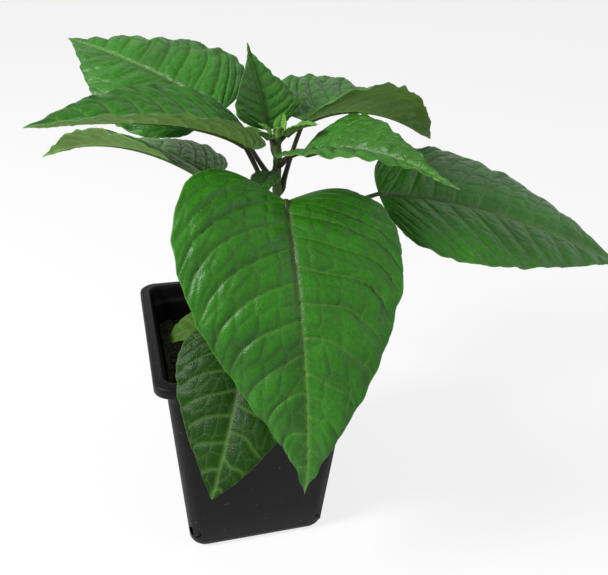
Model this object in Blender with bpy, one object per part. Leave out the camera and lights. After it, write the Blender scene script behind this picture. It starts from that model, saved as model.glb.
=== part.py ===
"""Young chilli pepper plant in a square nursery pot.

The pot stands on the ground plane with the middle of its base at the origin.  The shoot rises from
the compost at the middle of the pot and carries its leaves in a spiral.  Lengths are in millimetres
in the tables and are turned into metres by MM.
"""
import math
from dataclasses import dataclass

import bmesh
import bpy
from mathutils import Vector

MM = 0.001

# ---------------------------------------------------------------- driving dimensions
POT_TOP = 90.0
POT_BASE = 65.0
POT_HEIGHT = 105.0
POT_WALL = 1.1
LIP_OVERHANG = 4.5
LIP_BAND = 5.0
LIP_THICKNESS = 1.2
LEDGE_BELOW_RIM = 7.5
POT_CORNER_STEPS = 4
CORNER_HOLE_HEIGHT = 10.0
CORNER_HOLE_DIAMETER = 7.0
FLOOR_HOLE_DIAMETER = 7.0
FLOOR_HOLE_OFFSET = 20.0

SOIL_TOP = 87.0
SOIL_CROWN = 1.5
FIT_GAP = 0.3

STEM_FOOT = (4.0, 1.5)
STEM_LEAN = (8.5, -5.0)
STEM_BASE_Z = 84.5
STEM_TOP_Z = 194.0
LEAN_ENDS_Z = 170.0
STEM_RADIUS_LOW = 2.6
STEM_RADIUS_HIGH = 1.4
STEM_SIDES = 12

BLADE_THICKNESS = 0.7
PETIOLE_RADIUS = 1.15
MIDRIB_SHARE = 0.3


@dataclass
class Leaf:
    """One leaf.  Lengths in millimetres, angles in degrees, rises measured up from level."""

    name: str
    node: float  # height of its joint on the stem
    heading: float  # direction from the stem, turning from +X towards +Y
    petiole: float
    petiole_rise: tuple  # at the stem, at the blade
    length: float
    width: float
    rise: tuple  # of the midrib, at the base and at the tip
    bend: float = 1.0  # under 1 the midrib turns over near its base
    turn: float = 0.0  # sideways swing of the midrib
    roll: float = 0.0
    twist: float = 0.0
    fold: float = 15.0  # lift of the two halves out of the midrib
    camber: float = 18.0  # how far the halves turn down again at their edge
    lobe: float = 0.0  # how far the basal lobes reach back, as a share of the length
    shoulder: float = 0.42  # small values give a broad base
    point: float = 1.1  # large values give a drawn-out tip


LEAVES = [
    Leaf("leaf_over_soil", 97, -184, 14, (35, 10), 28, 23, (15, -45), turn=5, camber=10,
         shoulder=0.5, point=1.05),
    Leaf("leaf_front_low", 109, -108, 42, (42, 5), 68, 52, (-40, -62), turn=-25, roll=-5,
         fold=8, camber=22, lobe=0.05, shoulder=0.35, point=0.95),
    Leaf("leaf_rear", 122, 80, 38, (30, 0), 92, 58, (-5, -70), turn=8, fold=10, camber=22,
         lobe=0.06),
    Leaf("leaf_right", 141, -4, 52, (44, 14), 122, 80, (-2, -28), bend=0.8, turn=-12, roll=18,
         twist=-4, fold=12, camber=24, shoulder=0.4, point=0.95),
    Leaf("leaf_left_low", 142, 146, 40, (56, 38), 89, 60, (24, -30), turn=-4, roll=14, twist=14,
         fold=22, lobe=0.05, shoulder=0.36, point=1.4),
    Leaf("leaf_front", 153, -95, 40, (55, 25), 120, 86, (-15, -95), bend=0.6, turn=10, roll=-15,
         twist=45, fold=5, camber=14, lobe=0.15, shoulder=0.35, point=1.4),
    Leaf("leaf_back_left", 164, 135, 43, (65, 45), 96, 66, (20, 0), turn=-10, roll=-20,
         fold=10, camber=28, shoulder=0.45, point=1.3),
    Leaf("leaf_back_right", 170, 30, 30, (72, 60), 82, 62, (12, -36), bend=0.8, turn=-16,
         roll=-12, twist=16, fold=28, camber=8, lobe=0.05, shoulder=0.35, point=1.0),
    Leaf("leaf_left", 175, 190, 17, (55, 60), 87, 50, (72, -5), bend=0.25, turn=-6, fold=22,
         camber=0, shoulder=0.44, point=1.05),
    Leaf("leaf_right_young", 182, -55, 13, (45, 20), 70, 45, (27, -24), turn=10, roll=7, twist=8,
         fold=24, camber=16, shoulder=0.4, point=1.9),
    Leaf("leaf_top", 186, 110, 9, (62, 60), 36, 31, (66, 58), twist=8, fold=22, lobe=-0.06,
         shoulder=0.5, point=1.7),
    Leaf("leaf_tip_low", 178, -125, 5, (30, 10), 18, 12, (0, -40), shoulder=0.5),
    Leaf("leaf_tip_left", 191, 205, 3, (40, 30), 15, 11, (40, 0), fold=25, shoulder=0.5),
    Leaf("leaf_tip_right", 192, -45, 3, (45, 40), 16, 11, (45, 10), fold=30, shoulder=0.5,
         point=1.2),
]


# ---------------------------------------------------------------- scene and materials
def clear_scene():
    for old in list(bpy.data.objects):
        bpy.data.objects.remove(old, do_unlink=True)


def material(name, colour, roughness, metallic=0.0):
    mat = bpy.data.materials.new(name)
    mat.use_nodes = True
    shader = mat.node_tree.nodes["Principled BSDF"]
    shader.inputs["Base Color"].default_value = (*colour, 1.0)
    shader.inputs["Roughness"].default_value = roughness
    shader.inputs["Metallic"].default_value = metallic
    return mat


def object_from(bm, name, mat, sharp_angle=40.0):
    """Turn a bmesh into a named object with outward faces and smooth shading."""
    bmesh.ops.recalc_face_normals(bm, faces=bm.faces)
    mesh = bpy.data.meshes.new(name)
    bm.to_mesh(mesh)
    bm.free()
    mesh.shade_smooth()
    mesh.set_sharp_from_angle(angle=math.radians(sharp_angle))
    mesh.materials.append(mat)
    piece = bpy.data.objects.new(name, mesh)
    bpy.context.scene.collection.objects.link(piece)
    return piece


def combine(piece, tool, operation):
    """Apply an exact Boolean of tool to piece, then drop the tool."""
    cut = piece.modifiers.new("Boolean", "BOOLEAN")
    cut.operation = operation
    cut.solver = "EXACT"
    cut.object = tool
    bpy.context.view_layer.objects.active = piece
    bpy.ops.object.modifier_apply(modifier=cut.name)
    bpy.data.objects.remove(tool, do_unlink=True)


# ---------------------------------------------------------------- general shapes
def loft(bm, rings, closed_ends=True):
    """Bridge a list of equally long vertex rings, and cap the first and the last."""
    for low, high in zip(rings, rings[1:]):
        count = len(low)
        for i in range(count):
            j = (i + 1) % count
            bm.faces.new((low[i], low[j], high[j], high[i]))
    if closed_ends:
        bm.faces.new(list(reversed(rings[0])))
        bm.faces.new(rings[-1])


def tube(points, radii, sides):
    """A closed round tube through the points, in metres."""
    bm = bmesh.new()
    rings = []
    for i, point in enumerate(points):
        ahead = points[min(i + 1, len(points) - 1)] - points[max(i - 1, 0)]
        turn = Vector((0, 0, 1)).rotation_difference(ahead.normalized())
        ring = []
        for k in range(sides):
            angle = math.tau * k / sides
            spoke = Vector((math.cos(angle), math.sin(angle), 0)) * radii[i]
            ring.append(bm.verts.new(point + turn @ spoke))
        rings.append(ring)
    loft(bm, rings)
    return bm


def rounded_square(bm, half, corner, height):
    """A level ring of vertices along a square with rounded corners."""
    ring = []
    for quarter in range(4):
        mid_angle = math.radians(45 + 90 * quarter)
        centre_x = math.copysign(half - corner, math.cos(mid_angle))
        centre_y = math.copysign(half - corner, math.sin(mid_angle))
        for step in range(POT_CORNER_STEPS + 1):
            angle = math.radians(90 * quarter + 90 * step / POT_CORNER_STEPS)
            x = centre_x + corner * math.cos(angle)
            y = centre_y + corner * math.sin(angle)
            ring.append(bm.verts.new((x * MM, y * MM, height * MM)))
    return ring


def cylinder(centre, direction, diameter, length, name):
    """A cutter whose axis passes through centre along direction, all in millimetres."""
    bm = bmesh.new()
    bmesh.ops.create_cone(bm, cap_ends=True, segments=16, radius1=diameter / 2 * MM,
                          radius2=diameter / 2 * MM, depth=length * MM)
    turn = Vector((0, 0, 1)).rotation_difference(Vector(direction).normalized())
    for vert in bm.verts:
        vert.co = turn @ vert.co + Vector(centre) * MM
    return object_from(bm, name, PLASTIC)


# ---------------------------------------------------------------- pot
def wall_half(height):
    """Half the width of the pot's outer wall at a height."""
    top = POT_TOP / 2 - LIP_OVERHANG
    base = POT_BASE / 2
    return base + (top - base) * height / POT_HEIGHT


def pot_profile():
    """Half width, corner radius and height of each ring, outside first, then the inside."""
    top_half = POT_TOP / 2
    neck = top_half - LIP_OVERHANG
    ledge = POT_HEIGHT - LEDGE_BELOW_RIM
    skirt = POT_HEIGHT - LIP_BAND
    under_lip = POT_HEIGHT - LIP_THICKNESS
    base = POT_BASE / 2
    wall = POT_WALL
    return [
        (base - 3.5, 5.0, 0.0),
        (base - 1.2, 6.5, 0.9),
        (wall_half(4.0), 7.0, 4.0),
        (wall_half(50.0), 6.5, 50.0),
        (wall_half(ledge - 1.5), 6.0, ledge - 1.5),
        (neck + 0.6, 6.5, ledge),
        (neck + 0.9, 6.5, under_lip),
        (top_half - LIP_THICKNESS, 6.5, under_lip),
        (top_half - LIP_THICKNESS, 6.5, skirt),
        (top_half, 7.5, skirt),
        (top_half, 7.5, POT_HEIGHT - 0.7),
        (top_half - 0.7, 7.0, POT_HEIGHT),
        (neck + 0.9, 6.0, POT_HEIGHT),
        (neck - 0.2, 5.5, POT_HEIGHT - 0.9),
        (neck + 0.6 - wall, 5.5, ledge + 0.4),
        (wall_half(ledge - 1.5) - wall, 5.0, ledge - 1.2),
        (wall_half(50.0) - wall, 5.5, 50.0),
        (wall_half(4.0) - wall, 6.0, 4.2),
        (base - 2.2, 5.5, 2.0),
        (base - 4.2, 4.5, wall),
    ]


def make_pot():
    bm = bmesh.new()
    loft(bm, [rounded_square(bm, *ring) for ring in pot_profile()])
    pot = object_from(bm, "pot", PLASTIC, sharp_angle=35)
    corner = wall_half(CORNER_HOLE_HEIGHT) - 3.0
    for sx in (-1, 1):
        for sy in (-1, 1):
            hole = cylinder((sx * corner, sy * corner, CORNER_HOLE_HEIGHT), (sx, sy, 0),
                            CORNER_HOLE_DIAMETER, 14.0, "cutter")
            combine(pot, hole, "DIFFERENCE")
            hole = cylinder((sx * FLOOR_HOLE_OFFSET, sy * FLOOR_HOLE_OFFSET, 0), (0, 0, 1),
                            FLOOR_HOLE_DIAMETER, 8.0, "cutter")
            combine(pot, hole, "DIFFERENCE")
    return pot


# ---------------------------------------------------------------- shoot axis, roots and soil
def stem_axis(height):
    """Centre of the stem at a height, in millimetres."""
    t = (height - SOIL_TOP) / (LEAN_ENDS_Z - SOIL_TOP)
    t = min(max(t, 0.0), 1.0)
    lean = t * t * (3 - 2 * t)
    return Vector((STEM_FOOT[0] + STEM_LEAN[0] * lean, STEM_FOOT[1] + STEM_LEAN[1] * lean, height))


def stem_radius(height):
    share = (height - STEM_BASE_Z) / (STEM_TOP_Z - STEM_BASE_Z)
    return STEM_RADIUS_LOW + (STEM_RADIUS_HIGH - STEM_RADIUS_LOW) * share


def make_stem():
    steps = 16
    heights = [STEM_BASE_Z + (STEM_TOP_Z - STEM_BASE_Z) * i / steps for i in range(steps + 1)]
    points = [stem_axis(z) * MM for z in heights]
    radii = [stem_radius(z) * MM for z in heights]
    return object_from(tube(points, radii, STEM_SIDES), "stem", STALK)


def make_shoot_tip():
    """The folded growing point that closes the stem."""
    base = stem_axis(STEM_TOP_Z) + Vector((0, 0, FIT_GAP))
    profile = [(0.0, 1.1), (0.8, 1.5), (2.0, 1.6), (3.6, 1.1), (5.0, 0.35)]
    points = [(base + Vector((0, 0, z))) * MM for z, r in profile]
    radii = [r * MM for z, r in profile]
    return object_from(tube(points, radii, 8), "shoot_tip", YOUNG_LEAF)


def root_paths(swell):
    """Centre lines and radii of the tap root and its side roots, swollen by a gap."""
    foot = Vector((STEM_FOOT[0], STEM_FOOT[1], 0))
    collar = STEM_BASE_Z - FIT_GAP
    tap = [(collar, 2.4), (70, 2.1), (54, 1.5), (38, 1.0), (26 - swell, 0.5)]
    if swell:
        tap = [(SOIL_TOP + 5, 2.8), (collar - 1, 2.8)] + tap[1:]
    yield [foot + Vector((0, 0, z)) for z, r in tap], [r + swell for z, r in tap], 8
    side_roots = [(76, 20, 17, 18), (70, 135, 18, 22), (64, 255, 17, 20), (56, 75, 16, 20),
                  (50, 195, 15, 18), (44, 320, 14, 14)]
    for start_z, heading, reach, drop in side_roots:
        angle = math.radians(heading)
        out = Vector((math.cos(angle), math.sin(angle), 0))
        path = []
        radii = []
        for share in (0.0, 0.3, 0.65, 1.0):
            path.append(foot + out * share * reach + Vector((0, 0, start_z - drop * share ** 1.6)))
            radii.append(0.9 - 0.55 * share + swell)
        path[-1] = path[-1] + (path[-1] - path[-2]).normalized() * swell
        yield path, radii, 6


def root_solid(name, swell):
    solid = None
    for path, radii, sides in root_paths(swell):
        branch = object_from(tube([p * MM for p in path], [r * MM for r in radii], sides),
                             name, ROOT)
        if solid is None:
            solid = branch
        else:
            combine(solid, branch, "UNION")
    return solid


def make_soil():
    """Compost filling the pot to a slight crown, moulded around the roots."""
    bm = bmesh.new()
    rings = []
    gap = POT_WALL + FIT_GAP
    for height, corner in ((POT_WALL + FIT_GAP, 4.2), (4.6, 5.9), (50.0, 5.3), (SOIL_TOP - 1, 5.0)):
        half = wall_half(height) - gap
        if height < 4.0:
            half = POT_BASE / 2 - 4.6
        rings.append(rounded_square(bm, half, corner, height))
    top_half = wall_half(SOIL_TOP) - gap
    for inset, lift in ((1.5, 0.0), (14.0, 0.5 * SOIL_CROWN), (28.0, SOIL_CROWN)):
        rings.append(rounded_square(bm, top_half - inset, 4.0, SOIL_TOP + lift))
    loft(bm, rings)
    soil = object_from(bm, "soil", COMPOST)
    combine(soil, root_solid("cutter", FIT_GAP), "DIFFERENCE")
    return soil


# ---------------------------------------------------------------- leaves
def heading_vector(heading, rise):
    h = math.radians(heading)
    e = math.radians(rise)
    return Vector((math.cos(h) * math.cos(e), math.sin(h) * math.cos(e), math.sin(e)))


def run(start, length, shares, heading, turn, rise, bend):
    """Walk from start along a direction that turns and bends; gives points and directions."""
    points = [start]
    directions = [heading_vector(heading, rise[0])]
    for low, high in zip(shares, shares[1:]):
        mid = (low + high) / 2
        step = heading_vector(heading + turn * mid, rise[0] + (rise[1] - rise[0]) * mid ** bend)
        points.append(points[-1] + step * length * (high - low))
        directions.append(heading_vector(heading + turn * high,
                                         rise[0] + (rise[1] - rise[0]) * high ** bend))
    return points, directions


def petiole_run(leaf):
    clearance = stem_radius(leaf.node) + FIT_GAP
    clearance += PETIOLE_RADIUS * math.sin(math.radians(leaf.petiole_rise[0]))
    start = stem_axis(leaf.node) + heading_vector(leaf.heading, 0) * clearance
    shares = [i / 5 for i in range(6)]
    length = leaf.petiole - clearance + stem_radius(leaf.node)
    return run(start, length, shares, leaf.heading, 0, leaf.petiole_rise, 1.0)[0]


def half_width(leaf, share):
    """Half the blade's width at a share of its length."""
    widest = leaf.shoulder / (leaf.shoulder + leaf.point)
    rising = (share / widest) ** leaf.shoulder
    falling = ((1 - share) / (1 - widest)) ** leaf.point
    return leaf.width / 2 * rising * falling


def across(leaf, s):
    """Sideways and upward reach, per half width, at s of the way from midrib to edge."""
    steps = 8
    side = 0.0
    lift = 0.0
    for i in range(steps):
        slope = math.radians(leaf.fold - leaf.camber * abs(s) * (i + 0.5) / steps)
        side += math.cos(slope) * abs(s) / steps
        lift += math.sin(slope) * abs(s) / steps
    return math.copysign(side, s), lift


def blade_sheet(leaf, start, rows, columns):
    """The blade as an open sheet: a grid bent onto the leaf's surface."""
    first, last = 0.01, 0.985
    shares = [first + (last - first) * (i / rows) ** 1.3 for i in range(rows + 1)]
    mids, directions = run(start, leaf.length, [0.0] + shares, leaf.heading, leaf.turn, leaf.rise,
                           leaf.bend)
    bm = bmesh.new()
    bmesh.ops.create_grid(bm, x_segments=columns, y_segments=rows, size=1.0)
    for vert in bm.verts:
        s = vert.co.x
        row = round((vert.co.y + 1) / 2 * rows)
        share = shares[row]
        forward = directions[row + 1]
        angle = math.radians(leaf.heading + leaf.turn * share)
        level = Vector((-math.sin(angle), math.cos(angle), 0))
        up = forward.cross(level)
        roll = math.radians(leaf.roll + leaf.twist * share)
        side_axis = math.cos(roll) * level + math.sin(roll) * up
        up_axis = math.cos(roll) * up - math.sin(roll) * level
        half = half_width(leaf, share)
        side, lift = across(leaf, s)
        fullness = math.sin(math.pi / 2 * min(1.0, 2.5 * half / leaf.width))
        back = leaf.lobe * leaf.length * (1 - share) ** 4 * fullness * abs(s) ** 1.5
        vert.co = (mids[row + 1] + side_axis * side * half + up_axis * lift * half
                   - forward * back) * MM
    return bm


def make_leaf(leaf):
    """A blade of even thickness joined to its petiole and the thick part of its midrib."""
    mat = YOUNG_LEAF if leaf.length < 45 else LEAF
    stalk = petiole_run(leaf)
    small = leaf.length < 25
    rows, columns = (5, 4) if small else (9, 6)
    thickness = (0.4 if small else BLADE_THICKNESS) * MM
    blade = object_from(blade_sheet(leaf, stalk[-1], rows, columns), leaf.name, mat, 60)
    shell = blade.modifiers.new("Solidify", "SOLIDIFY")
    shell.thickness = thickness
    shell.offset = 0
    shell.use_even_offset = False
    bpy.context.view_layer.objects.active = blade
    bpy.ops.object.modifier_apply(modifier=shell.name)
    rib_steps = 3
    rib = run(stalk[-1], leaf.length * MIDRIB_SHARE, [i / rib_steps for i in range(rib_steps + 1)],
              leaf.heading, leaf.turn * MIDRIB_SHARE,
              (leaf.rise[0], leaf.rise[0] + (leaf.rise[1] - leaf.rise[0]) * MIDRIB_SHARE ** leaf.bend),
              leaf.bend)[0]
    line = stalk + rib[1:]
    base_radius = PETIOLE_RADIUS * (0.6 if small else 1.0)
    radii = [base_radius * (1 - 0.55 * i / (len(line) - 1)) for i in range(len(line))]
    support = object_from(tube([p * MM for p in line], [r * MM for r in radii], 6),
                          "support", mat)
    combine(blade, support, "UNION")
    return blade


clear_scene()
PLASTIC = material("pot_plastic", (0.030, 0.030, 0.032), 0.45)
COMPOST = material("compost", (0.022, 0.015, 0.011), 0.95)
ROOT = material("root", (0.62, 0.50, 0.34), 0.8)
STALK = material("stem_green", (0.060, 0.090, 0.035), 0.5)
LEAF = material("leaf_green", (0.050, 0.160, 0.030), 0.4)
YOUNG_LEAF = material("young_leaf_green", (0.090, 0.230, 0.070), 0.45)

make_pot()
make_soil()
root_solid("roots", 0.0)
make_stem()
make_shoot_tip()
for each_leaf in LEAVES:
    make_leaf(each_leaf)
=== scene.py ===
"""Fine surfaces, finishes, lamps and camera for a young chilli pepper plant in a square nursery pot."""
import math
from collections import namedtuple

import bmesh
import bpy
import numpy as np
from bpy.props import FloatProperty, FloatVectorProperty, IntProperty, PointerProperty
from bpy.types import Operator, Panel, PropertyGroup
from mathutils import Matrix, Vector


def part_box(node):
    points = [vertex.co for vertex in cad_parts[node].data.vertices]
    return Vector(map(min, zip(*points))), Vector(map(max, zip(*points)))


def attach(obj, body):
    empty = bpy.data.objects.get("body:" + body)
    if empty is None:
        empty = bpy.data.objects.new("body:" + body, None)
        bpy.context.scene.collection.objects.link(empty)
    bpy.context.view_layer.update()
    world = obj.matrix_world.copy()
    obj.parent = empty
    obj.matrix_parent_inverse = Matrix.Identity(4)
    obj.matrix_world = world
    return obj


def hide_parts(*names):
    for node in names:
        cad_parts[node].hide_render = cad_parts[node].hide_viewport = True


bl_info = {
    "name": "Potted Chilli Plant",
    "version": (1, 0, 0),
    "blender": (4, 5, 0),
    "location": "View3D > Sidebar > Chilli Plant",
    "description": "Builds a young chilli pepper plant in a square nursery pot",
    "category": "Add Mesh",
}

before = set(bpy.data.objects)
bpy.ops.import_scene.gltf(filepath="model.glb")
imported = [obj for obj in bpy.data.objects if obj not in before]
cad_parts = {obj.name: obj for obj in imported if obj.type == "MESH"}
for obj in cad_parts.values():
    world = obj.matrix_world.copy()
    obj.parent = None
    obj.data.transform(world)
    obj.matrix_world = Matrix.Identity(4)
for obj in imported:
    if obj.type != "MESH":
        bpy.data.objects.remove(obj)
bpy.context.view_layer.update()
MM = 0.001

# Pot, compost and shoot axis, in millimetres, as the solid model has them.
POT_TOP = 90.0
POT_BASE = 65.0
POT_HEIGHT = 105.0
POT_WALL = 1.1
LIP_OVERHANG = 4.5
LIP_BAND = 5.0
LIP_THICKNESS = 1.2
LEDGE_BELOW_RIM = 7.5
CORNER_HOLE_HEIGHT = 10.0
HOLE_DIAMETER = 7.0
FLOOR_HOLE_OFFSET = 20.0
SOIL_TOP = 87.0
STEM_FOOT = (4.0, 1.5)
STEM_LEAN = (8.5, -5.0)
STEM_BASE_Z = 84.5
STEM_TOP_Z = 194.0
LEAN_ENDS_Z = 170.0
STEM_RADIUS_LOW = 2.6
STEM_RADIUS_HIGH = 1.4
PETIOLE_RADIUS = 1.15
FIT_GAP = 0.3

LeafShape = namedtuple(
    "LeafShape",
    "name node heading petiole petiole_rise length width rise bend turn roll twist fold camber "
    "lobe shoulder point finish pairs relief ruffle",
    defaults=(1.0, 0.0, 0.0, 0.0, 15.0, 18.0, 0.0, 0.42, 1.1, "mature", 8, 1.0, 1.0),
)

# Lengths in millimetres, angles in degrees.  node is the height of the joint on the stem, rise the
# slope of the midrib at its base and tip, pairs the number of side veins on each half.
LEAVES = [
    LeafShape("leaf_over_soil", 97, -184, 14, (35, 10), 28, 23, (15, -45), turn=5, camber=10,
              shoulder=0.5, point=1.05, finish="dull", pairs=5, relief=0.35, ruffle=0.3),
    LeafShape("leaf_front_low", 109, -108, 42, (42, 5), 68, 52, (-40, -62), turn=-25, roll=-5,
              fold=8, camber=22, lobe=0.05, shoulder=0.35, point=0.95, finish="dark", pairs=6,
              relief=0.45, ruffle=0.5),
    LeafShape("leaf_rear", 122, 80, 38, (30, 0), 92, 58, (-5, -70), turn=8, fold=10, camber=22,
              lobe=0.06),
    LeafShape("leaf_right", 141, -4, 52, (44, 14), 122, 80, (-2, -28), bend=0.8, turn=-12,
              roll=18, twist=-4, fold=12, camber=24, shoulder=0.4, point=0.95, pairs=9),
    # Its bright finish is painted light for the sun on this leaf.
    LeafShape("leaf_left_low", 142, 146, 40, (56, 38), 89, 60, (24, -30), turn=-4, roll=14,
              twist=14, fold=22, lobe=0.05, shoulder=0.36, point=1.4, finish="bright"),
    LeafShape("leaf_front", 153, -95, 40, (55, 25), 120, 86, (-15, -95), bend=0.6, turn=10,
              roll=-15, twist=45, fold=5, camber=14, lobe=0.15, shoulder=0.35, point=1.4,
              relief=1.3, ruffle=1.1),
    LeafShape("leaf_back_left", 164, 135, 43, (65, 45), 96, 66, (20, 0), turn=-10, roll=-20,
              fold=10, camber=28, shoulder=0.45, point=1.3, relief=1.2, ruffle=1.5),
    LeafShape("leaf_back_right", 170, 30, 30, (72, 60), 82, 62, (12, -36), bend=0.8, turn=-16,
              roll=-12, twist=16, fold=28, camber=8, lobe=0.05, shoulder=0.35, point=1.0,
              finish="light", relief=1.2, ruffle=1.3),
    LeafShape("leaf_left", 175, 190, 17, (55, 60), 87, 50, (72, -5), bend=0.25, turn=-6, fold=22,
              camber=0, shoulder=0.44, point=1.05, relief=1.1, ruffle=1.0),
    LeafShape("leaf_right_young", 182, -55, 13, (45, 20), 70, 45, (27, -24), turn=10, roll=7,
              twist=8, fold=24, camber=16, shoulder=0.4, point=1.9, finish="light", relief=1.3,
              ruffle=1.2),
    LeafShape("leaf_top", 186, 110, 9, (62, 60), 36, 31, (66, 58), twist=8, fold=22, lobe=-0.06,
              shoulder=0.5, point=1.7, finish="light", pairs=7, relief=1.0, ruffle=0.7),
    LeafShape("leaf_tip_low", 178, -125, 5, (30, 10), 18, 12, (0, -40), shoulder=0.5,
              finish="light", pairs=5, relief=0.7, ruffle=0.3),
    LeafShape("leaf_tip_left", 191, 205, 3, (40, 30), 15, 11, (40, 0), fold=25, shoulder=0.5,
              finish="fresh", pairs=5, relief=0.8, ruffle=0.35),
    LeafShape("leaf_tip_right", 192, -45, 3, (45, 40), 16, 11, (45, 10), fold=30, shoulder=0.5,
              point=1.2, finish="fresh", pairs=5, relief=0.8, ruffle=0.35),
]

# Widths of the midrib, the side veins and the threads of the net between them, in millimetres.
RIB_WIDTH = 0.35
RIB_WIDTH_PER_LENGTH = 0.006
VEIN_WIDTH = 0.5

# Heights on a blade, as shares of its quilting.
BULGE_HEIGHT = 1.0
PILLOW_HEIGHT = 0.34
PUCKER_HEIGHT = 0.05
RIB_DEPTH = 0.55
VEIN_DEPTH = 0.34
THREAD_DEPTH = 0.16
MEAN_HEIGHT = 0.6

# Share of a blade's length that the thick midrib below it reaches, and how it sits there.
RIB_REACH = 0.88
RIB_SINK = 0.8
# Where a stalk leaves the stem: how far below its joint, and how far its elbow reaches back.
ELBOW_DROP = 2.4
ELBOW_REACH = 1.5

# Middle of the plant, where the lamps point, in metres.
LAMP_AIM = Vector((0.02, 0.0, 0.13))

# The folded leaflets that wrap the growing point.
TIP_LEAFLETS = [
    LeafShape("shoot_tip_front", 193, -100, 1, (60, 60), 8, 5, (62, 30), fold=40, shoulder=0.5,
              finish="fresh", pairs=4, relief=0.4, ruffle=0.4),
    LeafShape("shoot_tip_back", 193, 60, 1, (60, 60), 9, 6, (68, 40), fold=40, shoulder=0.5,
              finish="fresh", pairs=4, relief=0.4, ruffle=0.4),
    LeafShape("shoot_tip_side", 193, 170, 1, (60, 60), 7, 5, (60, 30), fold=40, shoulder=0.5,
              finish="fresh", pairs=4, relief=0.4, ruffle=0.4),
]


def srgb(red, green, blue):
    """A display colour from 0 to 255 as the linear colour that a shader takes."""
    out = []
    for part in (red, green, blue):
        v = part / 255
        out.append(v / 12.92 if v <= 0.04045 else ((v + 0.055) / 1.055) ** 2.4)
    return tuple(out)


# ------------------------------------------------------------------------------ user settings
def tint(name, description, default):
    """A colour that a user can change."""
    return FloatVectorProperty(name=name, description=description, subtype="COLOR", size=3,
                               min=0.0, max=1.0, default=default)


class CHILLI_PG_leaves(PropertyGroup):
    """Fineness, relief and colours of the leaves."""

    cell: FloatProperty(name="Mesh Cell", description="Size of one mesh cell on a blade",
                        default=0.0005, min=0.0003, max=0.01, unit="LENGTH")
    thickness: FloatProperty(name="Blade Thickness", description="Thickness of a blade",
                             default=0.00035, min=0.0001, max=0.002, unit="LENGTH")
    relief: FloatProperty(name="Quilting", description="Height of the bulges between the veins",
                          default=0.0008, min=0.0, max=0.004, unit="LENGTH")
    mature: tint("Mature Green", "Colour of the full-grown leaves", srgb(36, 98, 8))
    dark: tint("Dark Green", "Colour of the oldest leaf", srgb(17, 52, 1))
    dull: tint("Dull Green", "Colour of the seed leaf over the compost", srgb(58, 88, 24))
    # Painted light: a lighter copy of the leaf green that stands for sun falling on the lower leaf.
    bright: tint("Bright Green", "Colour of the sunlit lower leaf", srgb(54, 108, 18))
    light: tint("Light Green", "Colour of the young leaves", srgb(44, 102, 20))
    fresh: tint("Fresh Green", "Colour of the newest leaflets", srgb(78, 132, 40))
    vein: tint("Vein Green", "Colour of the veins", srgb(104, 150, 66))
    underside: tint("Underside", "Colour of the lower face", srgb(100, 138, 62))


class CHILLI_PG_stalks(PropertyGroup):
    """Colours of the stem and the leaf stalks."""

    green: tint("Stalk Green", "Green of the stem and the stalks", srgb(54, 78, 26))
    purple: tint("Stalk Purple", "Purple brown flush near the joints", srgb(38, 26, 20))
    root: tint("Root", "Colour of the roots", srgb(190, 160, 118))


class CHILLI_PG_pot(PropertyGroup):
    """Finish of the pot and the compost."""

    corner_steps: IntProperty(name="Corner Steps", description="Edges around each rounded corner",
                              default=12, min=2, max=32)
    plastic: tint("Plastic", "Colour of the pot", srgb(14, 15, 15))
    compost: tint("Compost", "Main colour of the compost", srgb(42, 32, 22))
    fibre: tint("Fibre", "Colour of the dry fibres in the compost", srgb(78, 54, 38))
    crumbs: IntProperty(name="Crumbs", description="Loose crumbs lying on the compost",
                        default=520, min=0, max=4000)


class CHILLI_PG_stage(PropertyGroup):
    """Camera and lamps."""

    camera_place: FloatVectorProperty(name="Camera Place", description="Where the camera stands",
                                      subtype="TRANSLATION", size=3, unit="LENGTH",
                                      default=(-0.0537, -0.2831, 0.2821))
    camera_dip: FloatProperty(name="Camera Dip", description="How far the camera looks down",
                              subtype="ANGLE", default=math.radians(28.9))
    camera_heading: FloatProperty(name="Camera Heading", description="Turn of the camera from +Y",
                                  subtype="ANGLE", default=math.radians(15.9))
    camera_roll: FloatProperty(name="Camera Roll", description="Lean of the camera",
                               subtype="ANGLE", default=math.radians(2.3))
    lens: FloatProperty(name="Lens", description="Focal length in millimetres", default=43.6,
                        min=10.0, max=200.0)
    key_power: FloatProperty(name="Key Lamp", description="Power of the main lamp in watts",
                             default=18.0, min=0.0)
    fill_power: FloatProperty(name="Fill Lamp", description="Power of the fill lamp in watts",
                              default=2.5, min=0.0)
    sky: FloatProperty(name="Sky", description="Strength of the even light all round",
                       default=0.38, min=0.0)


# ------------------------------------------------------------------------------ shader helpers
class Value:
    """A shader socket that takes part in Python arithmetic."""

    def __init__(self, finish, socket):
        self.finish = finish
        self.socket = socket

    def maths(self, operation, first, second=0.0):
        """Add one Math node."""
        node = self.finish.node("ShaderNodeMath", {"operation": operation}, {0: first, 1: second})
        return Value(self.finish, node.outputs[0])

    def __add__(self, other):
        return self.maths("ADD", self, other)

    __radd__ = __add__

    def __sub__(self, other):
        return self.maths("SUBTRACT", self, other)

    def __rsub__(self, other):
        return self.maths("SUBTRACT", other, self)

    def __mul__(self, other):
        return self.maths("MULTIPLY", self, other)

    __rmul__ = __mul__

    def between(self, low, high):
        """0 below low, 1 above high, smooth between them."""
        node = self.finish.node("ShaderNodeMapRange", {"interpolation_type": "SMOOTHSTEP"},
                                {"Value": self, "From Min": low, "From Max": high})
        return Value(self.finish, node.outputs["Result"])


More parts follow.
